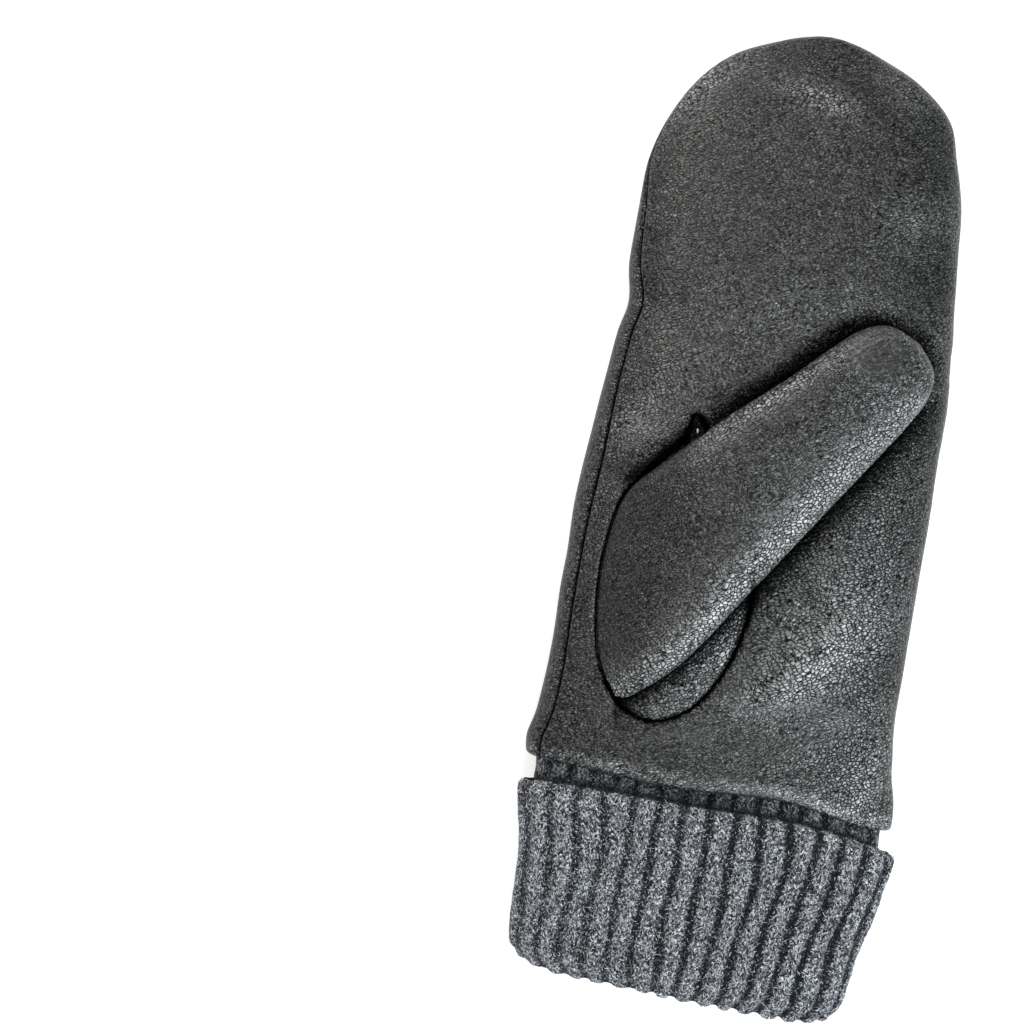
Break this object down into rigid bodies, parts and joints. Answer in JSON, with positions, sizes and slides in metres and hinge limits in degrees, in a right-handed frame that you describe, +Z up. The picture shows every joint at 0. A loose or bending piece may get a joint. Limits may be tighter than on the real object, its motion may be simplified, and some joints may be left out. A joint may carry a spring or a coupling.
{
  "type": "leather mitten with turned-up knitted cuff",
  "caption": "Leather mitten lying palm up, thumb folded over the palm, with a ribbed knitted cuff turned up at the wrist; hollow, open at the wrist.",
  "frame": {"origin": "middle of the whole mitten seen from above, at the height of the surface that it lies on", "axes": "+X towards the little finger's side, +Y towards the fingertips, +Z up, out of the palm"},
  "size_m": [0.1137, 0.2926, 0.0355],
  "materials": {
    "leather": "charcoal grained leather, soft sheen",
    "knit": "heather grey wool in a two by two rib"
  },
  "bodies": {
    "root": {"palm_panel": "leather", "back_panel": "leather", "thumb": "leather", "knit_cuff": "knit"}
  },
  "joints": []
}
